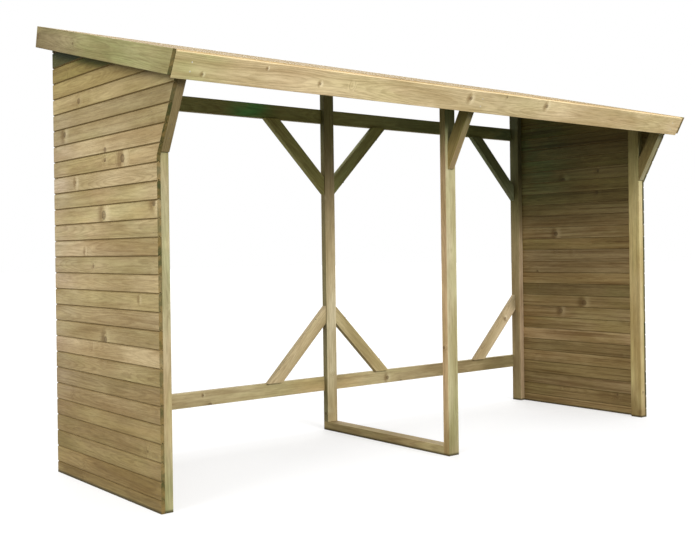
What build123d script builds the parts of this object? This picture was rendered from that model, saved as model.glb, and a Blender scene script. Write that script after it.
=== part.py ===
from build123d import *
from math import cos, radians, sin, tan
import os

os.makedirs("parts", exist_ok=True)

# Log store: two boarded end walls and an open middle frame under a lean-to boarded roof.
# Millimetres. X runs along the store, Y from the open front to the rear, Z is up.
# The origin is on the ground, under the middle of the roof.

# Ground plan
store_length = 4024      # outer face to outer face of the end wall boards
frame_depth = 1206       # front faces of the front posts to rear faces of the rear posts
middle_shift = -12       # centre of the middle frame from the middle of the store

# Framing timber
timber_thick = 45
timber_wide = 85

# End wall boards
board_thick = 20

# Sill of the middle frame
sill_height = 57

# Rails across the back and the diagonals between them
rail_thick = 38
rail_height = 95
rail_housing = 10        # depth that the rails are let into the rear posts
lower_rail_level = 272   # underside of the lower rail
upper_rail_level = 2139  # underside of the upper rail
diagonal_thick = 38
diagonal_wide = 85
diagonal_angle = 45
diagonal_reach = 498     # along the rail, from the post to the far edge of the diagonal

# Roof
roof_slope = 14.3
eaves_level = 2222       # underside of the deck over the front faces of the front posts
deck_thick = 18
barge_thick = 20
barge_height = 120
side_overhang = 71       # end wall boards to outer face of the barge boards
rear_overhang = 71       # rear posts to the lowest rear corner of the barge boards
bearer_height = 45
rear_fascia_height = 95

# Front of the roof: the braces lean out from the posts, and the fascia leans with them
brace_lean = 27.5        # from upright
brace_drop = 490         # level of the deck's underside down to the foot of the brace
brace_toe = 9            # blunt end at the foot of the brace
brace_wide = 78
rafter_nose = 30         # rafter ends ahead of the front edges of the braces
fascia_thick = 20
fascia_height = 128
fascia_step = 9          # top of the deck above the top of the fascia

# Worked out from the sizes above
slope_cos, slope_sin, slope_tan = (f(radians(roof_slope)) for f in (cos, sin, tan))
lean_cos, lean_sin, lean_tan = (f(radians(brace_lean)) for f in (cos, sin, tan))
half_length = store_length / 2
frame_face = half_length - board_thick
barge_face = half_length + side_overhang - barge_thick
barge_drop = barge_height - deck_thick
brace_foot_level = eaves_level - brace_drop
lower_rail_top = lower_rail_level + rail_height
diagonal_cut = diagonal_wide / sin(radians(diagonal_angle))


def roof_line(depth, above):
    """Height of a line parallel to the deck, above its underside, at a depth behind the posts' fronts."""
    return eaves_level + depth * slope_tan + above / slope_cos


def front_corner(ahead, above):
    """Where a plane ahead of the braces' front edges meets a line above the deck's underside."""
    rise = eaves_level + above / slope_cos - brace_foot_level
    depth = (-brace_toe - rise * lean_tan - ahead / lean_cos) / (1 + slope_tan * lean_tan)
    return (depth, roof_line(depth, above))


def rear_corner(inset, above):
    """Point on a cut square to the roof, inset from the rear ends of the barge boards."""
    depth = frame_depth + rear_overhang
    level = roof_line(depth, -barge_drop)
    up = above + barge_drop
    return (depth - inset * slope_cos - up * slope_sin, level - inset * slope_sin + up * slope_cos)


# Depths above are measured from the posts' fronts; front_y places those in the middle of the roof's plan
front_y = -(front_corner(rafter_nose + fascia_thick, deck_thick)[0] + frame_depth + rear_overhang) / 2
rear_y = front_y + frame_depth
rail_places = ((rear_y, lower_rail_level), (rear_y, upper_rail_level))


def placed(points):
    """Side view points, measured from the posts' fronts, moved to the store's own origin."""
    return [(front_y + depth, level) for depth, level in points]


def save(piece, name):
    """Name a finished piece and write it to its own file."""
    piece.part.label = name
    export_step(piece.part, f"parts/{name}.step")


# Side views of the frame members
post_top = -timber_wide
front_post_outline = [(0, 0), (timber_wide, 0),
                      (timber_wide, roof_line(timber_wide, post_top)), (0, roof_line(0, post_top))]
rear_post_front = frame_depth - timber_wide
rear_post_outline = [(rear_post_front, 0), (frame_depth, 0), (frame_depth, roof_line(frame_depth, post_top)),
                     (rear_post_front, roof_line(rear_post_front, post_top))]
rafter_outline = [front_corner(rafter_nose, 0), front_corner(rafter_nose, -timber_wide),
                  rear_corner(fascia_thick, -timber_wide), rear_corner(fascia_thick, 0)]
brace_back_level = brace_foot_level + (brace_wide / lean_cos - brace_toe) / lean_tan
brace_outline = [(0, brace_foot_level), (-brace_toe, brace_foot_level), front_corner(0, post_top),
                 front_corner(-brace_wide, post_top), (0, brace_back_level)]
wall_outline = [(0, 0), (frame_depth, 0), (frame_depth, roof_line(frame_depth, 0)), front_corner(0, 0),
                (0, brace_foot_level - brace_toe / lean_tan)]
bearer_outline = [front_corner(rafter_nose, 0), front_corner(rafter_nose, -bearer_height),
                  rear_corner(fascia_thick, -bearer_height), rear_corner(fascia_thick, 0)]

# End frames: two posts, the rafter on them, the brace under its nose and the boards outside
for side, frame_start, wall_start in (("left", -frame_face, -half_length),
                                      ("right", frame_face - timber_thick, frame_face)):
    with BuildPart() as front_post:
        with BuildSketch(Plane.YZ.offset(frame_start)):
            with BuildLine():
                Polyline(*placed(front_post_outline), close=True)
            make_face()
        extrude(amount=timber_thick)
    save(front_post, f"{side}_front_post")

    with BuildPart() as rear_post:
        with BuildSketch(Plane.YZ.offset(frame_start)):
            with BuildLine():
                Polyline(*placed(rear_post_outline), close=True)
            make_face()
        extrude(amount=timber_thick)
        with BuildSketch(Plane.YZ.offset(frame_start)):
            with Locations(*rail_places):
                Rectangle(rail_housing, rail_height, align=(Align.MAX, Align.MIN))
        extrude(amount=timber_thick, mode=Mode.SUBTRACT)
    save(rear_post, f"{side}_rear_post")

    with BuildPart() as rafter:
        with BuildSketch(Plane.YZ.offset(frame_start)):
            with BuildLine():
                Polyline(*placed(rafter_outline), close=True)
            make_face()
        extrude(amount=timber_thick)
    save(rafter, f"{side}_rafter")

    with BuildPart() as front_brace:
        with BuildSketch(Plane.YZ.offset(frame_start)):
            with BuildLine():
                Polyline(*placed(brace_outline), close=True)
            make_face()
        extrude(amount=timber_thick)
    save(front_brace, f"{side}_front_brace")

    with BuildPart() as wall:
        with BuildSketch(Plane.YZ.offset(wall_start)):
            with BuildLine():
                Polyline(*placed(wall_outline), close=True)
            make_face()
        extrude(amount=board_thick)
    save(wall, f"{side}_wall")

# Middle frame: the posts stand broad face forward, with a sill between them on the ground
with BuildPart() as middle_sill:
    with BuildSketch(Plane.XY):
        with Locations((middle_shift, front_y + timber_thick)):
            Rectangle(timber_wide, frame_depth - timber_thick, align=(Align.CENTER, Align.MIN))
    extrude(amount=sill_height)
save(middle_sill, "middle_sill")

middle_front_outline = [(0, 0), (timber_thick, 0), (timber_thick, roof_line(timber_thick, post_top)),
                        (0, roof_line(0, post_top))]
with BuildPart() as middle_front_post:
    with BuildSketch(Plane.YZ.offset(middle_shift - timber_wide / 2)):
        with BuildLine():
            Polyline(*placed(middle_front_outline), close=True)
        make_face()
    extrude(amount=timber_wide)
save(middle_front_post, "middle_front_post")

middle_rear_front = frame_depth - timber_thick
middle_rear_outline = [(middle_rear_front, sill_height), (frame_depth, sill_height),
                       (frame_depth, roof_line(frame_depth, post_top)),
                       (middle_rear_front, roof_line(middle_rear_front, post_top))]
with BuildPart() as middle_rear_post:
    with BuildSketch(Plane.YZ.offset(middle_shift - timber_wide / 2)):
        with BuildLine():
            Polyline(*placed(middle_rear_outline), close=True)
        make_face()
    extrude(amount=timber_wide)
    with BuildSketch(Plane.YZ.offset(middle_shift - timber_wide / 2)):
        with Locations(*rail_places):
            Rectangle(rail_housing, rail_height, align=(Align.MAX, Align.MIN))
    extrude(amount=timber_wide, mode=Mode.SUBTRACT)
save(middle_rear_post, "middle_rear_post")

with BuildPart() as middle_rafter:
    with BuildSketch(Plane.YZ.offset(middle_shift - timber_thick / 2)):
        with BuildLine():
            Polyline(*placed(rafter_outline), close=True)
        make_face()
    extrude(amount=timber_thick)
save(middle_rafter, "middle_rafter")

with BuildPart() as middle_front_brace:
    with BuildSketch(Plane.YZ.offset(middle_shift - timber_thick / 2)):
        with BuildLine():
            Polyline(*placed(brace_outline), close=True)
        make_face()
    extrude(amount=timber_thick)
save(middle_front_brace, "middle_front_brace")

# Rails across the back, let into the rear posts and running from wall to wall
for name, level in (("lower_rear_rail", lower_rail_level), ("upper_rear_rail", upper_rail_level)):
    with BuildPart() as rear_rail:
        with BuildSketch(Plane.YZ.offset(-frame_face)):
            with Locations((rear_y - rail_housing, level)):
                Rectangle(rail_thick, rail_height, align=(Align.MIN, Align.MIN))
        extrude(amount=2 * frame_face)
    save(rear_rail, name)

# Diagonals in the back, each cut to the side of a post and to the edge of a rail
post_sides = (("left", -frame_face + timber_thick, 1), ("middle_left", middle_shift - timber_wide / 2, -1),
              ("middle_right", middle_shift + timber_wide / 2, 1), ("right", frame_face - timber_thick, -1))
rail_edges = (("upper", upper_rail_level, -1), ("lower", lower_rail_top, 1))
diagonal_rise = tan(radians(diagonal_angle))
for post, post_side, away in post_sides:
    for rail, rail_edge, up in rail_edges:
        far, near = diagonal_reach, diagonal_reach - diagonal_cut
        with BuildPart() as diagonal:
            with BuildSketch(Plane.XZ.offset(-rear_y)):
                with BuildLine():
                    Polyline((post_side + away * far, rail_edge), (post_side + away * near, rail_edge),
                             (post_side, rail_edge + up * near * diagonal_rise),
                             (post_side, rail_edge + up * far * diagonal_rise), close=True)
                make_face()
            extrude(amount=diagonal_thick)
        save(diagonal, f"{post}_{rail}_diagonal")

# Roof deck on the rafters, from fascia to fascia and from barge board to barge board
deck_outline = [front_corner(rafter_nose, 0), front_corner(rafter_nose, deck_thick),
                rear_corner(fascia_thick, deck_thick), rear_corner(fascia_thick, 0)]
with BuildPart() as roof_deck:
    with BuildSketch(Plane.YZ.offset(-barge_face)):
        with BuildLine():
            Polyline(*placed(deck_outline), close=True)
        make_face()
    extrude(amount=2 * barge_face)
save(roof_deck, "roof_deck")

# Bearers under the ends of the deck, with the barge boards outside them
barge_front = rafter_nose + fascia_thick
barge_outline = [front_corner(barge_front, -barge_drop), front_corner(barge_front, deck_thick),
                 rear_corner(0, deck_thick), rear_corner(0, -barge_drop)]
for side, bearer_start, barge_start in (("left", -barge_face, -barge_face - barge_thick),
                                        ("right", half_length, barge_face)):
    with BuildPart() as barge_bearer:
        with BuildSketch(Plane.YZ.offset(bearer_start)):
            with BuildLine():
                Polyline(*placed(bearer_outline), close=True)
            make_face()
        extrude(amount=side_overhang - barge_thick)
    save(barge_bearer, f"{side}_barge_bearer")

    with BuildPart() as barge_board:
        with BuildSketch(Plane.YZ.offset(barge_start)):
            with BuildLine():
                Polyline(*placed(barge_outline), close=True)
            make_face()
        extrude(amount=barge_thick)
    save(barge_board, f"{side}_barge_board")

# Front fascia, leaning with the braces, on the noses of the rafters
top_depth, top_level = front_corner(barge_front, deck_thick - fascia_step)
foot_depth, foot_level = top_depth + fascia_height * lean_sin, top_level - fascia_height * lean_cos
back_depth, back_level = fascia_thick * lean_cos, fascia_thick * lean_sin
fascia_outline = [(top_depth, top_level), (foot_depth, foot_level),
                  (foot_depth + back_depth, foot_level + back_level),
                  (top_depth + back_depth, top_level + back_level)]
with BuildPart() as front_fascia:
    with BuildSketch(Plane.YZ.offset(-barge_face)):
        with BuildLine():
            Polyline(*placed(fascia_outline), close=True)
        make_face()
    extrude(amount=2 * barge_face)
save(front_fascia, "front_fascia")

# Rear fascia, square to the roof, on the rear ends of the rafters
rear_fascia_foot = deck_thick - rear_fascia_height
rear_fascia_outline = [rear_corner(0, rear_fascia_foot), rear_corner(0, deck_thick),
                       rear_corner(fascia_thick, deck_thick), rear_corner(fascia_thick, rear_fascia_foot)]
with BuildPart() as rear_fascia:
    with BuildSketch(Plane.YZ.offset(-barge_face)):
        with BuildLine():
            Polyline(*placed(rear_fascia_outline), close=True)
        make_face()
    extrude(amount=2 * barge_face)
save(rear_fascia, "rear_fascia")
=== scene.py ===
from math import cos, pi, radians, sin, tan
import random

import bmesh
import bpy
from mathutils import Matrix, Vector


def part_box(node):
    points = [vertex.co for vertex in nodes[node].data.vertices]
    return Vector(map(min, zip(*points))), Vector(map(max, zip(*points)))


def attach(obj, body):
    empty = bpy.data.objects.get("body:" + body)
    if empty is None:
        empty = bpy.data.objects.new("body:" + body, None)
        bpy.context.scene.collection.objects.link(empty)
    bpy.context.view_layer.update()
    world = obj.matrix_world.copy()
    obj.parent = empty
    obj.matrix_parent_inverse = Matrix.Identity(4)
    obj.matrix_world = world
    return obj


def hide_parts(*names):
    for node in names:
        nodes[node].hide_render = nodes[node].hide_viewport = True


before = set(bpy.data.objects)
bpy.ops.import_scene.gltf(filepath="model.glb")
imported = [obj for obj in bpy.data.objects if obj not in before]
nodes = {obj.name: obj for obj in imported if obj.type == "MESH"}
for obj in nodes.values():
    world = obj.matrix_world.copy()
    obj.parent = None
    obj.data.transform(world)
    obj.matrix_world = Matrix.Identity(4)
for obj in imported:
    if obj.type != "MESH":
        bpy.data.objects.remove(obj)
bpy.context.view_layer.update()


# Framing timber: posts, sill, rafters, rails, braces, diagonals and the bearers of the barge boards, each
# sawn from one log, planed and pressure treated, which leaves the pine tan with a green cast. The pieces
# are screwed together, and their arrises are just taken off.
def srgb(red, green, blue):
    """A colour as it is seen, 0 to 255, turned into the light values that a shader takes."""
    seen = [channel / 255 for channel in (red, green, blue)]
    return [c / 12.92 if c <= 0.04045 else ((c + 0.055) / 1.055) ** 2.4 for c in seen] + [1.0]


def shader(tree, kind, inputs=None, **settings):
    """Adds a shader node. Each input is a plain value or another node's output."""
    made = tree.nodes.new("ShaderNode" + kind)
    for option, value in settings.items():
        setattr(made, option, value)
    for socket, value in (inputs or {}).items():
        if isinstance(value, bpy.types.NodeSocket):
            tree.links.new(value, made.inputs[socket])
        else:
            made.inputs[socket].default_value = value
    return made


def maths(tree, operation, *values, clamp=False):
    """The output of a Math node."""
    inputs = dict(enumerate(values))
    return shader(tree, "Math", inputs, operation=operation, use_clamp=clamp).outputs[0]


def stretched(tree, place, along, across):
    """A place in the log scaled along and across the grain, so that a pattern read there runs with it."""
    inputs = {0: place, 1: (along, across, across)}
    return shader(tree, "VectorMath", inputs, operation="MULTIPLY").outputs[0]


def speckle(tree, place, detail=2.0, roughness=0.5):
    """Smooth random values from 0 to 1 over a place."""
    inputs = {"Vector": place, "Scale": 1.0, "Detail": detail, "Roughness": roughness}
    return shader(tree, "TexNoise", inputs, noise_dimensions="3D")


def step(tree, value, start, end, low=0.0, high=1.0):
    """A smooth step of a value from low to high."""
    inputs = {"Value": value, "From Min": start, "From Max": end, "To Min": low, "To Max": high}
    return shader(tree, "MapRange", inputs, interpolation_type="SMOOTHSTEP").outputs[0]


def mixed(tree, share, first, second, blend="MIX"):
    """One colour laid over another by a share."""
    node = shader(tree, "Mix", {0: share, 6: first, 7: second}, data_type="RGBA", blend_type=blend)
    return node.outputs[2]


ring_pitch = 0.0055
pith_wander = 0.11
knot_spacing = 0.15
smallest_knot = 0.0003
largest_knot = 0.015

pine = bpy.data.node_groups.new("treated_pine", "ShaderNodeTree")
for kind, sockets in (
        ("Vector", ("Place",)),
        ("Float", ("End", "Back", "Joint", "Shade", "Splash", "Foot", "Knot Reach", "Beyond Knot")),
        ("Color", ("Tint", "Back Tint", "End Tint")),
        ("Float", ("Figure", "Streaks", "Green", "Brown"))):
    for socket in sockets:
        pine.interface.new_socket(socket, in_out="INPUT", socket_type="NodeSocket" + kind)
for socket, kind in (("Colour", "Color"), ("Roughness", "Float"), ("Height", "Float")):
    pine.interface.new_socket(socket, in_out="OUTPUT", socket_type="NodeSocket" + kind)
given = pine.nodes.new("NodeGroupInput").outputs
place = given["Place"]

# The pith wanders as the log grows, which draws the rings out into long arches on a sawn face
wander = speckle(pine, stretched(pine, place, 0.8, 1.2), 1.0).outputs["Color"]
wander = shader(pine, "VectorMath", {0: wander, 1: (0.5, 0.5, 0.5)}, operation="SUBTRACT").outputs[0]
wander = stretched(pine, wander, 0.0, pith_wander)
bent = shader(pine, "VectorMath", {0: place, 1: wander}, operation="ADD").outputs[0]

# Knots: the cut ends of branches, round and brown, with the grain swept round them. Short of a knot the
# fibres rise out of the face and look dark, and past it they dip and look pale.
cells = shader(pine, "TexVoronoi", {"Vector": place, "Scale": 1 / knot_spacing, "Randomness": 1.0},
               feature="F1")
from_knot = maths(pine, "MULTIPLY", cells.outputs["Distance"], knot_spacing)
branch = shader(pine, "SeparateColor", {0: cells.outputs["Color"]})
knot_size = step(pine, branch.outputs[0], 0.5, 1.0, smallest_knot, largest_knot)
knot_reach = maths(pine, "DIVIDE", from_knot, knot_size)
beyond = shader(pine, "VectorMath", {0: place, 1: cells.outputs["Position"]},
                operation="SUBTRACT").outputs[0]
beyond = maths(pine, "DIVIDE", shader(pine, "SeparateXYZ", {0: beyond}).outputs[0], knot_size)
chosen = maths(pine, "LESS_THAN", given["Knot Reach"], knot_reach)
knot_reach = maths(pine, "MINIMUM", given["Knot Reach"], knot_reach)
knot_size = shader(pine, "Mix", {0: chosen, 2: knot_size, 3: largest_knot}, data_type="FLOAT").outputs[0]
beyond = shader(pine, "Mix", {0: chosen, 2: beyond, 3: given["Beyond Knot"]}, data_type="FLOAT").outputs[0]
knot = step(pine, knot_reach, 1.0, 0.6)
knot_rim = maths(pine, "MULTIPLY", step(pine, knot_reach, 0.6, 0.95), step(pine, knot_reach, 1.3, 0.95))
sweep = step(pine, knot_reach, 4.0, 0.7)
flare = maths(pine, "MULTIPLY", step(pine, beyond, -1.8, 1.8, -1.0, 1.0), step(pine, knot_reach, 4.2, 1.2))
flare = maths(pine, "MULTIPLY", flare, maths(pine, "MULTIPLY_ADD", chosen, 0.75, 0.25))

# Growth rings round the pith, pale in spring and darker in late summer
across = stretched(pine, bent, 0.0, 1.0)
from_pith = shader(pine, "VectorMath", {0: across}, operation="LENGTH").outputs["Value"]
swept = maths(pine, "MULTIPLY", maths(pine, "MULTIPLY", sweep, knot_size), 1.4)
from_pith = maths(pine, "ADD", from_pith, swept)
ripple = speckle(pine, stretched(pine, place, 5, 40), 2.0).outputs[0]
season = maths(pine, "FRACT", maths(pine, "ADD", maths(pine, "DIVIDE", from_pith, ring_pitch), ripple))
late = maths(pine, "MULTIPLY", step(pine, season, 0.3, 0.85), step(pine, season, 1.0, 0.88))

# Fibres, streaks and broad patches are all drawn out along the grain
fibre = speckle(pine, stretched(pine, place, 12, 300), 3.0, 0.65).outputs[0]
fleck = speckle(pine, stretched(pine, place, 14, 120), 2.0, 0.6).outputs[0]
streak = speckle(pine, stretched(pine, place, 1.0, 60), 4.0, 0.6).outputs[0]
patch = speckle(pine, stretched(pine, place, 1.8, 8), 2.0, 0.55).outputs["Color"]
patch = shader(pine, "SeparateColor", {0: patch})

# The wood itself: tan, paler and darker by turns, with the treatment's green and the heart's brown
pale_wood = srgb(197, 178, 137)
tan_wood = srgb(166, 145, 104)
dark_wood = srgb(112, 86, 48)
dipping_wood = srgb(214, 197, 156)
green_cast = (0.80, 0.98, 0.62, 1)
brown_cast = (0.84, 0.74, 0.60, 1)
fleck_cast = (0.5, 0.46, 0.4, 1)
streaky = maths(pine, "MULTIPLY_ADD", given["Back"], 0.42, given["Streaks"])
colour = mixed(pine, step(pine, patch.outputs[2], 0.3, 0.7), tan_wood, pale_wood)
colour = mixed(pine, maths(pine, "MULTIPLY", step(pine, streak, 0.47, 0.7), streaky), colour, dark_wood)
colour = mixed(pine, maths(pine, "MULTIPLY", step(pine, streak, 0.47, 0.33), streaky), colour, pale_wood)
figured = maths(pine, "MULTIPLY_ADD", sweep, 0.25, given["Figure"])
colour = mixed(pine, maths(pine, "MULTIPLY", late, figured), colour, dark_wood)
fibrous = maths(pine, "MULTIPLY", step(pine, fibre, 0.45, 0.8), given["Streaks"])
colour = mixed(pine, maths(pine, "MULTIPLY", fibrous, 0.85), colour, dark_wood)
greener = maths(pine, "MULTIPLY", step(pine, patch.outputs[0], 0.35, 0.65), given["Green"])
browner = maths(pine, "MULTIPLY", step(pine, patch.outputs[1], 0.35, 0.65), given["Brown"])
colour = mixed(pine, greener, colour, green_cast, "MULTIPLY")
colour = mixed(pine, browner, colour, brown_cast, "MULTIPLY")
colour = mixed(pine, maths(pine, "MULTIPLY", flare, 0.65, clamp=True), colour, dipping_wood)
colour = mixed(pine, maths(pine, "MULTIPLY", flare, -0.75, clamp=True), colour, dark_wood)
flecked = maths(pine, "MULTIPLY", step(pine, fleck, 0.62, 0.35), given["Streaks"])
colour = mixed(pine, maths(pine, "MULTIPLY", flecked, 0.87), colour, fleck_cast, "MULTIPLY")

# Boards take on a tone of their own, and another on their rough backs, darker there partly as painted
# shade.
# Under the roof the wood is painted dark and green, as painted shade with some damp. Rain splashed up from
# the ground browns the feet, and the very foot goes darker. Joints hold dirt and painted shade, and sawn
# ends drink the treatment, so they are dark.
knot_wood = srgb(92, 66, 38)
knot_bark = srgb(70, 50, 28)
shade_and_damp_cast = (0.42, 0.5, 0.36, 1)
splash_cast = (0.56, 0.52, 0.4, 1)
foot_dark = srgb(50, 45, 22)
joint_dirt_and_shade = srgb(114, 93, 50)
sawn_end = srgb(126, 103, 56)
mouldy_end = srgb(60, 62, 24)
colour = mixed(pine, 1.0, colour, given["Tint"], "MULTIPLY")
colour = mixed(pine, maths(pine, "MULTIPLY", knot, 0.55), colour, knot_wood)
colour = mixed(pine, maths(pine, "MULTIPLY", knot_rim, 0.6), colour, knot_bark)
colour = mixed(pine, given["Back"], colour, given["Back Tint"], "MULTIPLY")
# Painted shade under the roof, with a damp green cast
colour = mixed(pine, given["Shade"], colour, shade_and_damp_cast, "MULTIPLY")
colour = mixed(pine, given["Splash"], colour, splash_cast, "MULTIPLY")
colour = mixed(pine, maths(pine, "MULTIPLY", given["Foot"], 0.85), colour, foot_dark)
colour = mixed(pine, maths(pine, "MULTIPLY", given["Joint"], 0.8), colour, joint_dirt_and_shade)
mould = speckle(pine, stretched(pine, place, 14, 14), 3.0, 0.65).outputs[0]
end_colour = mixed(pine, step(pine, mould, 0.35, 0.62), sawn_end, mouldy_end)
end_colour = mixed(pine, 1.0, end_colour, given["End Tint"], "MULTIPLY")
colour = mixed(pine, given["End"], colour, end_colour)

height = maths(pine, "ADD", maths(pine, "MULTIPLY", late, 0.5), maths(pine, "MULTIPLY", fibre, 0.5))
height = maths(pine, "SUBTRACT", height, maths(pine, "MULTIPLY", knot_rim, 0.6))
roughness = step(pine, fibre, 0.2, 0.8, 0.68, 0.86)
leaving = pine.nodes.new("NodeGroupOutput").inputs
for socket, output in (("Colour", colour), ("Roughness", roughness), ("Height", height)):
    pine.links.new(output, leaving[socket])


splash_height = 1.4
# The bottom 2 cm of every piece go darker towards the ground
foot_dark_top, foot_dark_most = 0.02, 0.006
# The rough backs are darker and browner, partly as painted shade
rough_back_and_shade = (0.85, 0.78, 0.66)


def wood(piece, along, pith, face=None, tint=(1, 1, 1), front_face_tint=None, green=0.2, brown=0.3, ends=0.9,
         end_tint=(1, 1, 1), figured=None, streaks=0.3, joints=True, shade_and_damp=(1.7, 2.1, 0.0), splash=0.3,
         stains_and_shade=(), barge_shadow_strip=None, knots=()):
    """Gives a piece its own cut of treated pine.

    along: the way that the grain runs
    pith: the way from the piece's middle to the heart of its log
    face: the way that a board's good side looks, where it has one
    tint, front_face_tint: the tint of the wood, and that of the sides that look out of the open front
    green, brown: how much of the treatment's green and the heart's brown shows
    ends, end_tint: how dark the sawn ends are, and their tint
    figured, streaks: how strongly the rings and the streaks show
    joints: whether dirt and painted shade lie in the board's edges
    shade_and_damp: the level where painted shade and damp under the roof start, where they are at their
    most, and how much that is
    splash: how brown the rain splashes the foot
    stains_and_shade: stains and painted shade on faces that look front left, each a spot, a reach and a
    tint
    barge_shadow_strip: the way up to the strip of painted shadow under the barge board, where along it the
    strip starts and is at its most, and its tint
    knots: the knots of note, each a spot and a radius
    """
    material = bpy.data.materials.new(piece.name + "_pine")
    material.use_nodes = True
    tree = material.node_tree
    cut = random.Random(piece.name)
    along = Vector(along).normalized()
    turn = along.rotation_difference(Vector((1, 0, 0)))
    middle = sum((Vector(corner) for corner in piece.bound_box), Vector()) / 8
    jitter = Vector((cut.uniform(5, 60), cut.uniform(-0.02, 0.02), cut.uniform(-0.02, 0.02)))
    where = shader(tree, "TexCoord")
    spot_here, outward_here = where.outputs["Object"], where.outputs["Normal"]
    log = shader(tree, "Mapping", {"Vector": spot_here, "Rotation": turn.to_euler(),
                                   "Location": jitter - turn @ (middle + Vector(pith))}).outputs[0]
    given = {"Place": log, "Streaks": streaks}

    def along_a_way(spot, way):
        """How far a spot lies along a way."""
        return shader(tree, "VectorMath", {0: spot, 1: way}, operation="DOT_PRODUCT").outputs["Value"]

    def looking(way):
        """How far the surface looks one way: 1 straight along it, -1 straight against it."""
        return along_a_way(outward_here, way)

    end = maths(tree, "ABSOLUTE", looking(along))
    given["End"] = step(tree, end, 0.6, 0.8, 0.0, ends * cut.uniform(0.7, 1.2))
    level = shader(tree, "SeparateXYZ", {0: spot_here}).outputs[2]
    given["Splash"] = step(tree, level, splash_height, 0.0, 0.0, splash)
    given["Foot"] = step(tree, level, foot_dark_top, foot_dark_most)
    # Painted shade under the roof, with some damp green: darker from one level up to the next
    shade_start, shade_most, shade_amount = shade_and_damp
    given["Shade"] = step(tree, level, shade_start, shade_most, 0.0, shade_amount)
    if face:
        back = given["Back"] = step(tree, looking(face), -0.8, -0.95)
        joint = step(tree, maths(tree, "ABSOLUTE", looking(face)), 0.97, 0.9)
        upward = step(tree, looking((0, 0, 1)), 0.3, 0.6, 0.0, 0.45)
        # Dirt and painted shade in the joints, less on the faces that look up
        if joints:
            given["Joint"] = maths(tree, "SUBTRACT", joint, maths(tree, "MAXIMUM", end, upward), clamp=True)
        less_behind = maths(tree, "MULTIPLY_ADD", back, -0.75, 1.0)
        given["Splash"] = maths(tree, "MULTIPLY", given["Splash"], less_behind)
        given["Shade"] = maths(tree, "MULTIPLY", given["Shade"], back)
    given["Knot Reach"] = 100.0
    for spot, radius in knots:
        offset = shader(tree, "VectorMath", {0: spot_here, 1: spot}, operation="SUBTRACT").outputs[0]
        distance = shader(tree, "VectorMath", {0: offset}, operation="LENGTH").outputs["Value"]
        distance = maths(tree, "DIVIDE", distance, radius)
        past = along_a_way(offset, along / radius)
        nearer = maths(tree, "LESS_THAN", distance, given["Knot Reach"])
        beyond = {0: nearer, 2: given.get("Beyond Knot", 0.0), 3: past}
        given["Beyond Knot"] = shader(tree, "Mix", beyond, data_type="FLOAT").outputs[0]
        given["Knot Reach"] = maths(tree, "MINIMUM", distance, given["Knot Reach"])
    tone, rough_tone = cut.uniform(0.87, 1.09), cut.uniform(0.76, 1.16)
    given["Tint"] = [share * tone for share in tint] + [1]
    # The faces that look out of the open front take a tint of their own; on the framing it is painted light
    # and shade
    if front_face_tint:
        front_face_tint = [share * tone for share in front_face_tint] + [1]
        given["Tint"] = mixed(tree, step(tree, looking((0, -1, 0)), 0.5, 0.8), given["Tint"], front_face_tint)
    # Stains and painted shade show only on faces that look to the front left
    if stains_and_shade:
        cloud = step(tree, speckle(tree, stretched(tree, log, 3, 12)).outputs[0], 0.3, 0.6, 0.35, 1.0)
        cloud = maths(tree, "MULTIPLY", cloud, step(tree, looking((-0.71, -0.71, 0)), 0.3, 0.6))
    for spot, reach, stain_and_shade_tint in stains_and_shade:
        offset = shader(tree, "VectorMath", {0: spot_here, 1: spot}, operation="DISTANCE").outputs["Value"]
        share = maths(tree, "MULTIPLY", step(tree, offset, 1.3 * reach, 0.2 * reach), cloud)
        given["Tint"] = mixed(tree, share, given["Tint"], (*stain_and_shade_tint, 1), "MULTIPLY")
    # A painted shadow of the barge board, with a green cast, along the top of the outer face
    if barge_shadow_strip:
        way, start, most, shadow_strip_tint = barge_shadow_strip
        share = step(tree, along_a_way(spot_here, way), start, most)
        share = maths(tree, "SUBTRACT", share, back, clamp=True)
        given["Tint"] = mixed(tree, share, given["Tint"], (*shadow_strip_tint, 1), "MULTIPLY")
    given["End Tint"] = (*end_tint, 1)
    given["Back Tint"] = [rough_tone * share for share in rough_back_and_shade] + [1]
    given["Figure"] = figured or cut.uniform(0.04, 0.3)
    given["Green"] = green * cut.uniform(0.3, 1.7)
    given["Brown"] = brown * cut.uniform(0.3, 1.7)
    figure = shader(tree, "Group", given, node_tree=pine).outputs
    surface = tree.nodes["Principled BSDF"]
    tree.links.new(figure["Colour"], surface.inputs["Base Color"])
    tree.links.new(figure["Roughness"], surface.inputs["Roughness"])
    surface.inputs["Specular IOR Level"].default_value = 0.25
    relief = {"Height": figure["Height"], "Strength": min(0.7, 2.4 * streaks), "Distance": 0.001}
    tree.links.new(shader(tree, "Bump", relief).outputs[0], surface.inputs["Normal"])
    piece.data.materials.clear()
    piece.data.materials.append(material)


def ease(piece, width=0.0015):
    """Takes the sharp arrises off a CAD piece. Its loose triangles are joined into whole faces first."""
    join = piece.modifiers.new("join", "WELD")
    join.merge_threshold = 0.00001
    flat = piece.modifiers.new("flat", "DECIMATE")
    flat.decimate_type = "DISSOLVE"
    flat.angle_limit = radians(1)
    arris = piece.modifiers.new("arris", "BEVEL")
    arris.width = width
    arris.segments = 2
    arris.limit_method = "ANGLE"
    arris.angle_limit = radians(25)


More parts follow.
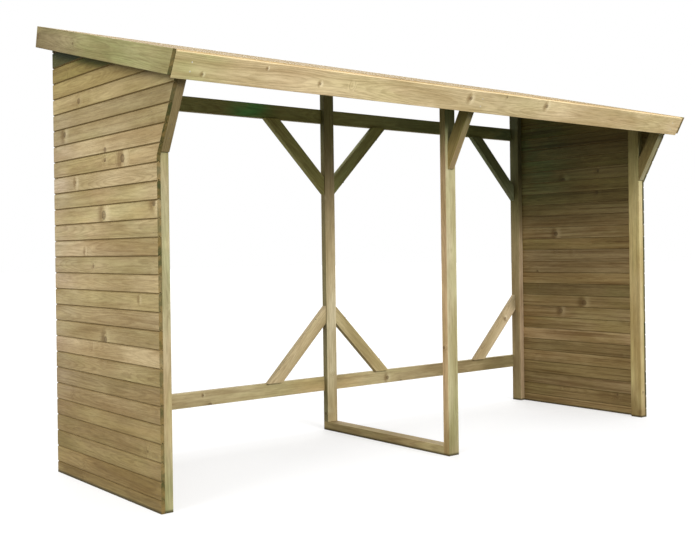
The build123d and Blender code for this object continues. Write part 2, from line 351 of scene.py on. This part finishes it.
roof_slope = radians(14.3)
brace_lean = radians(27.5)
up_the_roof = (0, cos(roof_slope), sin(roof_slope))
off_the_roof = (0, -sin(roof_slope), cos(roof_slope))
up_the_brace = (0, -sin(brace_lean), cos(brace_lean))
off_the_brace = (0, -cos(brace_lean), -sin(brace_lean))
upright, lengthwise, rearward = (0, 0, 1), (1, 0, 0), (0, 1, 0)
to_the_right, to_the_left = (1, 0, 1), (-1, 0, 1)
# Painted shade: the pieces up under the roof are tinted darker and greener
painted_roof_shade = (0.62, 0.74, 0.62)
post_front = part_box("left_front_post")[0].y
rail_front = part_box("lower_rear_rail")[0].y
diagonal_front = rail_front - 0.03
upper_rail_level = 2.19
lower_rail_level = 0.33
# Besides the wood's own tone, these tints carry painted light and shade: pieces are tinted lighter where
# the light should be stronger and darker where shade should fall, and front faces get tints of their own
framing = {
    "left_front_post": dict(
        along=upright, tint=(1.27, 1.33, 1.53), green=0.4, splash=0.1, shade_and_damp=(1.4, 1.85, 0.45),
        stains_and_shade=[((-1.97, post_front, 1.25), 0.65, (0.68, 0.76, 0.7)),
                ((-1.97, post_front, 0.0), 0.3, (0.5, 0.6, 0.48))]),
    "middle_front_post": dict(
        along=upright, tint=(1.6, 1.45, 1.54), front_face_tint=(1.22, 1.37, 1.57), shade_and_damp=(1.7, 2.05, 0.9),
        # The top spot is painted shade under the fascia
        stains_and_shade=[((-0.03, post_front + 0.04, 2.2), 0.3, (0.5, 0.6, 0.4)),
                ((-0.03, post_front, 0.0), 0.5, (0.7, 0.73, 0.6))]),
    "right_front_post": dict(
        along=upright, tint=(1.34, 1.38, 1.25), front_face_tint=(1.33, 1.42, 1.45), shade_and_damp=(1.45, 2.0, 0.7),
        stains_and_shade=[((1.97, post_front, 0.0), 0.25, (0.5, 0.42, 0.35))]),
    "left_rear_post": dict(along=upright, green=0.3, shade_and_damp=(1.4, 1.85, 1.0)),
    "middle_rear_post": dict(
        along=upright, tint=(0.84, 0.96, 0.96), front_face_tint=(1.54, 1.73, 2.08), shade_and_damp=(1.65, 2.2, 0.9)),
    "right_rear_post": dict(
        along=upright, tint=(0.95, 0.93, 0.88), front_face_tint=(1.0, 0.95, 1.1), shade_and_damp=(1.2, 1.7, 1.0),
        # Its spot is painted shade at the top, under the roof
        stains_and_shade=[((1.97, rail_front, 2.15), 0.5, (0.42, 0.5, 0.52))]),
    "left_rafter": dict(along=up_the_roof, tint=painted_roof_shade, green=0.5),
    "middle_rafter": dict(along=up_the_roof, tint=painted_roof_shade, green=0.5),
    "right_rafter": dict(along=up_the_roof, tint=painted_roof_shade, green=0.5),
    # The left brace is tinted dark: painted shade under the fascia
    "left_front_brace": dict(along=up_the_brace, tint=(0.52, 0.5, 0.42), green=0.1),
    "middle_front_brace": dict(
        along=up_the_brace, tint=(1.2, 1.22, 1.0), front_face_tint=(0.86, 0.83, 0.84), green=0.1,
        shade_and_damp=(1.8, 2.05, 0.9)),
    "right_front_brace": dict(
        along=up_the_brace, tint=(0.69, 0.7, 0.52), front_face_tint=(0.73, 0.84, 0.92), shade_and_damp=(1.8, 2.15, 0.45)),
    "middle_sill": dict(along=rearward, tint=(1.1, 1.12, 1.12)),
    "lower_rear_rail": dict(
        along=lengthwise, tint=(1.02, 1.08, 1.12), green=0.3,
        stains_and_shade=[((0.05, rail_front, lower_rail_level), 0.4, (1.45, 1.38, 1.38)),
                # The two spots towards the right end are painted shade
                ((1.4, rail_front, lower_rail_level), 0.9, (0.66, 0.62, 0.57)),
                ((1.9, rail_front, lower_rail_level), 0.35, (0.65, 0.65, 0.58))],
        knots=[((0.54, rail_front, 0.31), 0.012), ((-1.04, rail_front, 0.34), 0.005)]),
    "upper_rear_rail": dict(
        along=lengthwise, tint=(0.85, 0.92, 0.8), front_face_tint=(0.98, 1.28, 1.02), green=0.4,
        stains_and_shade=[((-0.65, rail_front, upper_rail_level), 0.2, (0.42, 1.15, 0.85)),
                # The two spots to the right are painted shade under the roof
                ((1.1, rail_front, upper_rail_level), 0.9, (0.55, 0.6, 0.6)),
                ((1.95, rail_front, upper_rail_level), 0.4, (0.5, 0.6, 0.7))]),
    "left_barge_bearer": dict(along=up_the_roof, green=0.4),
    "right_barge_bearer": dict(along=up_the_roof, green=0.4),
    # The upper diagonals are tinted darker and the lower ones lighter: painted shade under the roof and
    # painted light below it
    "left_upper_diagonal": dict(along=to_the_right, tint=painted_roof_shade),
    "left_lower_diagonal": dict(along=to_the_left, tint=(1.3, 1.35, 1.45)),
    "middle_left_upper_diagonal": dict(along=to_the_left, tint=(0.98, 1.19, 0.88)),
    "middle_left_lower_diagonal": dict(along=to_the_right, tint=(1.3, 1.35, 1.5)),
    "middle_right_upper_diagonal": dict(along=to_the_right, tint=(0.73, 0.97, 0.71)),
    "middle_right_lower_diagonal": dict(along=to_the_left, tint=(1.2, 1.25, 1.28)),
    "right_upper_diagonal": dict(along=to_the_left, tint=(0.48, 0.67, 0.66)),
    "right_lower_diagonal": dict(
        along=to_the_right, tint=(1.45, 1.5, 1.75),
        # Its spot is painted shade beside the post
        stains_and_shade=[((1.95, diagonal_front, 0.82), 0.1, (0.5, 0.5, 0.45))],
        knots=[((1.82, diagonal_front, 0.68), 0.009)])}
# The heart of the log is behind each piece, and to one side too except in the rails and diagonals
heart_aside, heart_back = 0.03, 0.045
for name, look in framing.items():
    ease(nodes[name])
    across_the_back = look["along"][0] != 0
    wood(nodes[name], pith=(0 if across_the_back else heart_aside, heart_back, 0), **look)


# End walls: tongued and grooved pine boards laid level, 90 mm to the weather, nailed to the outsides of the
# posts. The outer arrises are taken off, so each joint is a small V with a dark gap in it. The lowest board
# is ripped to fit, and the ends are trimmed to the slope of the roof and the lean of the brace.
cover = 0.090
first_joint = 0.0625
joint_gap = 0.002
joint_arris = 0.0045
back_arris = 0.002
tongue_thick = 0.006
tongue_long = 0.007
tongue_taper = 0.001
tongue_play = 0.0004
groove_spare = 0.001
near_enough = 0.001
cut_tolerance = 1e-6


def board_section(thick, wide):
    """Outline of a tongued and grooved board as (depth behind its face, height): tongue up, groove down."""
    near, far = (thick - tongue_thick) / 2, (thick + tongue_thick) / 2
    low, high = joint_gap / 2, wide - joint_gap / 2
    tongue_top, groove_top = high + tongue_long, low + tongue_long + groove_spare
    return [(0, low + joint_arris), (0, high - joint_arris), (joint_arris, high),
            (near, high), (near + tongue_taper, tongue_top), (far - tongue_taper, tongue_top), (far, high),
            (thick - back_arris, high), (thick, high - back_arris),
            (thick, low + back_arris), (thick - back_arris, low),
            (far + tongue_play, low), (far + tongue_play, groove_top),
            (near - tongue_play, groove_top), (near - tongue_play, low), (joint_arris, low)]


def drawn_out(corners, along, end):
    """A board from the corners of its section, drawn out along one axis to where it ends."""
    shape = bmesh.new()
    section = shape.faces.new([shape.verts.new(corner) for corner in corners])
    grown = bmesh.ops.extrude_face_region(shape, geom=[section])
    for part in grown["geom"]:
        if isinstance(part, bmesh.types.BMVert):
            part.co[along] = end
    return shape


def finished(name, shape):
    """Turns a bmesh into a piece that rides on the store."""
    bmesh.ops.recalc_face_normals(shape, faces=shape.faces)
    mesh = bpy.data.meshes.new(name)
    shape.to_mesh(mesh)
    shape.free()
    piece = bpy.data.objects.new(name, mesh)
    bpy.context.scene.collection.objects.link(piece)
    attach(piece, "root")
    return piece


def trim(shape, point, outward):
    """Saws off what lies beyond a plane and closes the cut."""
    whole = shape.verts[:] + shape.edges[:] + shape.faces[:]
    cut = bmesh.ops.bisect_plane(shape, geom=whole, dist=cut_tolerance, plane_co=point, plane_no=outward,
                                 clear_outer=True)
    edges = [part for part in cut["geom_cut"] if isinstance(part, bmesh.types.BMEdge)]
    if edges:
        bmesh.ops.holes_fill(shape, edges=[edge for edge in edges if edge.is_boundary])


# Each knot is placed by its depth in the store and its level, at one inset from the wall's left face. Some
# boards came lighter or darker than their neighbours, and are counted from the ground up.
left_face = {side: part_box(f"{side}_wall")[0].x for side in ("left", "right")}
knot_inset = {"left": 0.013, "right": 0.005}
wall_knots = {"left": (((-0.14, 1.73), 0.023), ((0.08, 1.45), 0.024), ((-0.46, 1.49), 0.018),
                       ((0.56, 1.92), 0.018), ((0.31, 1.26), 0.010), ((0.08, 0.80), 0.019),
                       ((-0.30, 1.02), 0.009), ((0.42, 1.64), 0.013)),
              "right": (((0.21, 1.78), 0.018), ((0.29, 1.36), 0.017), ((0.03, 0.82), 0.020),
                        ((0.25, 0.75), 0.016))}
wall_stains_and_shade = {"left": [((left_face["left"], 0.72, level), 0.35, (1.03, 1.04, 1.22))
                        for level in (0.5, 0.95, 1.4, 1.8)],
               # The right wall's spot under the eaves is painted shade with a green cast
               "right": [((left_face["right"], 0.5, 2.02), 0.5, (0.55, 0.82, 0.76))]}
board_tones = {"left": {6: 1.12, 9: 1.2, 10: 0.86, 12: 0.9, 15: 1.12, 16: 1.08, 20: 0.93, 22: 0.84,
                        23: 0.8, 24: 1.08},
               "right": {2: 0.78, 3: 1.1, 4: 0.66, 6: 0.82, 7: 1.3, 10: 0.85, 11: 0.72, 12: 0.8, 15: 0.7,
                         16: 1.12, 19: 0.68, 21: 1.2, 24: 1.25}}
end_tints = {"left": (1, 1, 1), "right": (0.35, 0.45, 0.38)}

# Towards the roof the boards are painted darker and greener, as shade with some damp, and along the top
# edge under the barge board lies a strip of painted shadow with a green cast
roof_shade_start, roof_shade_height = 2.0, 0.28
open_tone, roof_shade_loss = 1.03, 0.4
shaded_top_board_tint = (0.19, 0.24, 0.12)
shadow_boards_level = 2.22
shadow_strip_start, shadow_strip_most = 0.165, 0.12
barge_shadow_tint = (0.3, 0.4, 0.15)
end_dark, end_darker_up = 0.8, 0.11
heart_behind = 0.05
for side, outer in (("left", -1), ("right", 1)):
    low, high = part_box(f"{side}_wall")
    face = low.x if outer < 0 else high.x
    nose_level = high.z - (high.y - low.y) * tan(roof_slope)
    lean_level = nose_level - (post_front - low.y) / tan(brace_lean)
    wall_top = Vector((0, high.y, high.z)).dot(off_the_roof)
    barge_shadow_strip = (off_the_roof, wall_top - shadow_strip_start, wall_top - shadow_strip_most, barge_shadow_tint)
    for number in range(int((high.z - first_joint) / cover) + 2):
        joint = first_joint + (number - 1) * cover
        shape = drawn_out([(face - outer * depth, high.y, joint + level)
                           for depth, level in board_section(high.x - low.x, cover)], 1, post_front)
        if joint < lean_level < joint + cover:
            bmesh.ops.bisect_plane(shape, geom=shape.verts[:] + shape.edges[:] + shape.faces[:],
                                   dist=cut_tolerance, plane_co=(0, 0, lean_level), plane_no=(0, 0, 1))
        # The front end follows the post up to the foot of the brace, and leans out with the brace above it
        for vert in shape.verts:
            if vert.co.y < post_front + near_enough:
                vert.co.y = min(post_front, low.y + (nose_level - vert.co.z) * tan(brace_lean))
        if number == 0:
            trim(shape, (0, 0, low.z), (0, 0, -1))
        if joint + cover + tongue_long > nose_level:
            trim(shape, (0, high.y, high.z), off_the_roof)
        board = finished(f"{side}_wall_board_{number + 1:02d}", shape)
        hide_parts(f"{side}_wall")
        level = joint + cover / 2
        # Painted shade: boards near the roof go darker and yellower, and the top board is the darkest
        roof_shaded = min(1.0, max(0.0, (level - roof_shade_start) / roof_shade_height))
        tone = (open_tone - roof_shade_loss * roof_shaded) * board_tones[side].get(number + 1, 1.0)
        # A darker board is also a yellower one: its blue falls faster than its red
        tint = (tone, tone * (1 - 0.05 * roof_shaded), tone ** 1.36 * (1 - 0.35 * roof_shaded))
        wood(board, (0, -1, 0), (-outer * heart_behind, 0, 0), (outer, 0, 0),
             tint=tint if roof_shaded < 1 else shaded_top_board_tint, green=0.2, brown=0.4,
             ends=end_dark + end_darker_up * level, end_tint=end_tints[side],
             shade_and_damp=(1.25, 1.75, 0.78), splash=1.0, stains_and_shade=wall_stains_and_shade[side],
             barge_shadow_strip=barge_shadow_strip if level > shadow_boards_level else None,
             knots=[((left_face[side] + knot_inset[side], *spot), radius)
                    for spot, radius in wall_knots[side] if joint < spot[1] < joint + cover])


# Roof deck: tongued and grooved boards laid level up the slope from the fascia, 90 mm to the weather, and
# nailed down on the rafters, with their V joints facing into the store. The lowest board is bevelled to the
# fascia and the top one is ripped to fit.
deck_thick = 0.018
first_deck_joint = 0.055
low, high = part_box("roof_deck")
rear_top = Vector((0, high.y - deck_thick * sin(roof_slope), high.z))
front_top = Vector((0, low.y, high.z - (rear_top.y - low.y) * tan(roof_slope)))
deck_length = (rear_top - front_top).length
deck_boards = int((deck_length - first_deck_joint) / cover) + 2
for number in range(deck_boards):
    up_slope = first_deck_joint + (number - 1) * cover
    corners = []
    for depth, level in board_section(deck_thick, cover):
        spot = front_top + Vector(off_the_roof) * (depth - deck_thick)
        spot += Vector(up_the_roof) * (up_slope + level)
        corners.append((low.x, spot.y, spot.z))
    shape = drawn_out(corners, 0, high.x)
    if number == 0:
        trim(shape, front_top, off_the_brace)
    if number >= deck_boards - 2:
        trim(shape, rear_top, up_the_roof)
    board = finished(f"roof_board_{number + 1:02d}", shape)
    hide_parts("roof_deck")
    # The lowest board shows its front edge above the fascia, with a paler tint of its own
    look = {} if number else dict(front_face_tint=(1.45, 1.46, 1.56), figured=0.03, streaks=0.08, joints=False)
    wood(board, lengthwise, Vector(off_the_roof) * heart_behind, Vector(off_the_roof) * -1, **look)


# They are nailed over the rafter noses, the deck's ends and the bearers.
trim_arris = 0.002
fascia_low, fascia_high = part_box("front_fascia")
lean_to_the_middle = 0.03
fascia_front, fascia_middle = fascia_low.y + lean_to_the_middle, (fascia_low + fascia_high).z / 2
barge_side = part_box("left_barge_board")[0].x
trim_boards = {
    "front_fascia": dict(
        # The fascia's pale tint is partly a paler board and partly painted light, as its face looks down,
        # away from the lamps
        along=lengthwise, tint=(1.9, 1.94, 2.2), green=0.1,
        stains_and_shade=[((-1.95, fascia_front, fascia_middle), 0.2, (0.78, 0.9, 0.74)),
                ((-0.85, fascia_front, fascia_middle), 0.35, (0.9, 0.93, 0.86)),
                ((0.25, fascia_front, fascia_middle), 0.4, (0.75, 0.75, 0.66)),
                ((1.6, fascia_front, fascia_middle), 0.8, (0.85, 0.86, 0.77))],
        knots=[((spot, fascia_front - up * tan(brace_lean), fascia_middle + up), radius)
               for spot, up, radius in ((-1.21, -0.01, 0.006), (-0.11, 0.01, 0.011), (0.57, 0.02, 0.011),
                                        (-1.90, -0.03, 0.005), (-1.55, 0.03, 0.004))]),
    "rear_fascia": dict(along=lengthwise, tint=(1.1, 1.15, 1.1), green=0.4),
    "left_barge_board": dict(
        along=up_the_roof, tint=(0.87, 0.9, 0.85), green=0.4,
        stains_and_shade=[((barge_side, -0.2, 2.32), 0.7, (0.9, 1.02, 0.92)),
                ((barge_side, 0.7, 2.45), 0.5, (0.6, 0.57, 0.54))]),
    "right_barge_board": dict(along=up_the_roof, tint=(0.88, 0.94, 0.88), green=0.5)}
for name, look in trim_boards.items():
    ease(nodes[name], trim_arris)
    wood(nodes[name], pith=(0.05, 0.05, 0), brown=0.2, figured=0.2, **look)


# Fixings: galvanised steel. Nails driven flush hold the boards, two in each board at each post, rafter and
# bearer, and screws hold the frame and the fascias. All have weathered dull, and those of the front fascia
# are painted bright as a glint.
def metal(name, bright, dull):
    """Zinc with its spangle, dirty in places."""
    material = bpy.data.materials.new(name)
    material.use_nodes = True
    tree = material.node_tree
    surface = tree.nodes["Principled BSDF"]
    surface.inputs["Metallic"].default_value = 0.3
    where = shader(tree, "TexCoord").outputs["Object"]
    spangle = shader(tree, "TexNoise", {"Vector": where, "Scale": 900.0})
    dirt = step(tree, spangle.outputs[0], 0.35, 0.7)
    tree.links.new(mixed(tree, dirt, bright, dull), surface.inputs["Base Color"])
    tree.links.new(step(tree, spangle.outputs[0], 0.3, 0.7, 0.42, 0.65), surface.inputs["Roughness"])
    return material


# Painted highlight: the front fascia's screws get a bright zinc that stands in for their glint
bright_zinc = metal("bright_zinc", srgb(226, 224, 214), srgb(176, 170, 150))
dull_zinc = metal("dull_zinc", srgb(128, 116, 92), srgb(92, 78, 54))
sunk = 0.002
nail_head, nail_rise = 0.0028, 0.0003
screw_head, screw_rise, fascia_screw_head = 0.004, 0.0006, 0.0045
nail_rows = (0.025, 0.065)
edge_clear = 0.02
head_edge = 0.8


def heads(name, spots, outward, radius, rise=screw_rise, finish=dull_zinc):
    """Round heads as one piece: each stands a little proud of its spot and faces outward."""
    shape = bmesh.new()
    turn = Vector(outward).to_track_quat("Z", "Y").to_matrix().to_4x4()
    for spot in spots:
        place = Matrix.Translation(Vector(spot) + Vector(outward) * (rise / 2 - sunk / 2)) @ turn
        bmesh.ops.create_cone(shape, cap_ends=True, segments=10, radius1=radius,
                              radius2=radius * head_edge, depth=rise + sunk, matrix=place)
    piece = finished(name, shape)
    piece.data.materials.append(finish)


def middle_of(name):
    """The middle of a node's box."""
    return sum(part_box(name), Vector()) / 2


# Nails of the end walls: two in each board at each post, in the rows that show between the joints
frames = [middle_of(f"{side}_rafter") for side in ("left", "middle", "right")]
for side, outer in (("left", -1), ("right", 1)):
    low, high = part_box(f"{side}_wall")
    face = low.x if outer < 0 else high.x
    spots = []
    for post in ("front", "rear"):
        depth = middle_of(f"{side}_{post}_post").y
        roof_level = high.z - (high.y - depth) * tan(roof_slope) - edge_clear
        for number in range(1, int((roof_level - first_joint) / cover) + 2):
            joint = first_joint + (number - 1) * cover
            spots += [(face, depth, joint + up) for up in nail_rows if joint + up < roof_level]
    heads(f"{side}_wall_nails", spots, (outer, 0, 0), nail_head, nail_rise)

# Nails of the deck: two in each board at each rafter and bearer
spots = []
bearers = [middle_of(f"{side}_barge_bearer") for side in ("left", "right")]
for line in [spot.x for spot in frames + bearers]:
    for number in range(deck_boards):
        for row in nail_rows:
            up_slope = first_deck_joint + (number - 1) * cover + row
            if edge_clear < up_slope < deck_length - edge_clear / 2:
                spot = front_top + Vector(up_the_roof) * up_slope
                spots.append((line, spot.y, spot.z))
heads("deck_nails", spots, off_the_roof, nail_head, nail_rise)

# Screws of the fascias: two at each frame, into the front and the rear end of its rafter
fascia_height = 0.128
fascia_foot = Vector((0, fascia_low.y + fascia_height * sin(brace_lean), fascia_low.z))
spots = [fascia_foot + Vector(up_the_brace) * up + Vector((spot.x, 0, 0))
         for spot in frames for up in (0.04, 0.085)]
heads("front_fascia_screws", spots, off_the_brace, fascia_screw_head, finish=bright_zinc)
rear_fascia_thick = 0.02
rear_face = rear_top + Vector(up_the_roof) * rear_fascia_thick
spots = [rear_face - Vector(off_the_roof) * down + Vector((spot.x, 0, 0))
         for spot in frames for down in (0.04, 0.08)]
heads("rear_fascia_screws", spots, up_the_roof, screw_head)

# Screws of the frame: two through each rail into each rear post, one at each end of a diagonal, and three
# up each brace
spots = []
for rail in ("lower", "upper"):
    rail_low, rail_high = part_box(f"{rail}_rear_rail")
    spots += [(spot.x + aside, rail_high.y, (rail_low.z + rail_high.z) / 2 + rise)
              for spot in frames for aside, rise in ((-0.01, 0.025), (0.01, -0.025))]
heads("rail_screws", spots, rearward, screw_head)
from_the_middle = 0.16
spots = []
for name, look in framing.items():
    if name.endswith("diagonal"):
        centre, front = middle_of(name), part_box(name)[0].y
        slant = Vector(look["along"]) * from_the_middle
        spots += [(centre.x + end * slant.x, front, centre.z + end * slant.z) for end in (-1, 1)]
heads("diagonal_screws", spots, (0, -1, 0), screw_head)
brace_toe = 0.009
spots = []
for spot, side in zip(frames, ("left", "middle", "right")):
    toe_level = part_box(f"{side}_front_brace")[0].z
    toe = Vector((spot.x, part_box(f"{side}_front_post")[0].y - brace_toe, toe_level))
    spots += [toe + Vector(up_the_brace) * up for up in (0.07, 0.14, 0.33)]
heads("brace_screws", spots, off_the_brace, screw_head)


# Floor: a plain pale studio floor. The camera sees it white, and it sends little light up under the roof.
# It keeps the soft shadow of the store.
floor_shape = bmesh.new()
bmesh.ops.create_grid(floor_shape, x_segments=1, y_segments=1, size=60)
floor_mesh = bpy.data.meshes.new("floor")
floor_shape.to_mesh(floor_mesh)
floor_shape.free()
floor = bpy.data.objects.new("floor", floor_mesh)
bpy.context.scene.collection.objects.link(floor)


def seen_direct(tree):
    """1 where the camera, a reflection or glass looks at it, and 0 where it only lights other things."""
    rays = shader(tree, "LightPath").outputs
    seen = maths(tree, "MAXIMUM", rays["Is Camera Ray"], rays["Is Glossy Ray"])
    return maths(tree, "MAXIMUM", seen, rays["Is Transmission Ray"])


floor_paint = bpy.data.materials.new("floor_paint")
floor_paint.use_nodes = True
tree = floor_paint.node_tree
tree.nodes.clear()
white = shader(tree, "BsdfDiffuse", {"Color": (1, 1, 1, 1)})
glow = shader(tree, "Emission", {"Strength": 1.0})
seen = shader(tree, "MixShader", {0: 0.5, 1: white.outputs[0], 2: glow.outputs[0]})
dull = shader(tree, "BsdfDiffuse", {"Color": srgb(112, 112, 104)})
both = shader(tree, "MixShader", {0: seen_direct(tree), 1: dull.outputs[0], 2: seen.outputs[0]})
shader(tree, "OutputMaterial", {"Surface": both.outputs[0]})
floor_mesh.materials.append(floor_paint)


# Light: an even white sky with three wide soft lamps, one from the front, one from the left and a weaker
# one from behind for the back of the store. The sky lights less than it shows.
sky = bpy.data.worlds.new("sky")
bpy.context.scene.world = sky
sky.use_nodes = True
tree = sky.node_tree
tree.nodes.clear()
sky_light = 0.75
strength = maths(tree, "ADD", sky_light, maths(tree, "MULTIPLY", seen_direct(tree), 1 - sky_light))
backdrop = shader(tree, "Background", {"Color": (1, 1, 1, 1), "Strength": strength})
shader(tree, "OutputWorld", {"Surface": backdrop.outputs[0]})

for name, power, width, round_from_front, height in (
        ("front_lamp", 2.35, 24, 6, 20),
        ("left_lamp", 1.95, 40, 82, 24),
        ("rear_lamp", 1.5, 40, -145, 28)):
    lamp = bpy.data.lights.new(name, "SUN")
    lamp.energy = power
    lamp.angle = radians(width)
    stand = bpy.data.objects.new(name, lamp)
    bpy.context.scene.collection.objects.link(stand)
    turn, rise = radians(round_from_front), radians(height)
    toward = Vector((-sin(turn) * cos(rise), -cos(turn) * cos(rise), sin(rise)))
    stand.rotation_euler = toward.to_track_quat("Z", "Y").to_euler()


# Camera: at chest height, off the left front corner, with a normal lens. It looks level, leans over by
# less than a degree, and has a small shift that frames the store.
lens = bpy.data.cameras.new("camera")
lens.lens = 50.2
lens.shift_x = 0.0438
lens.shift_y = -0.0241
camera = bpy.data.objects.new("camera", lens)
bpy.context.scene.collection.objects.link(camera)
camera.location = (-4.2755, -4.5924, 1.2479)
camera.rotation_euler = (pi / 2 - 0.0023, 0.0135, -0.6672)
bpy.context.scene.camera = camera
bpy.context.scene.view_settings.view_transform = "Standard"
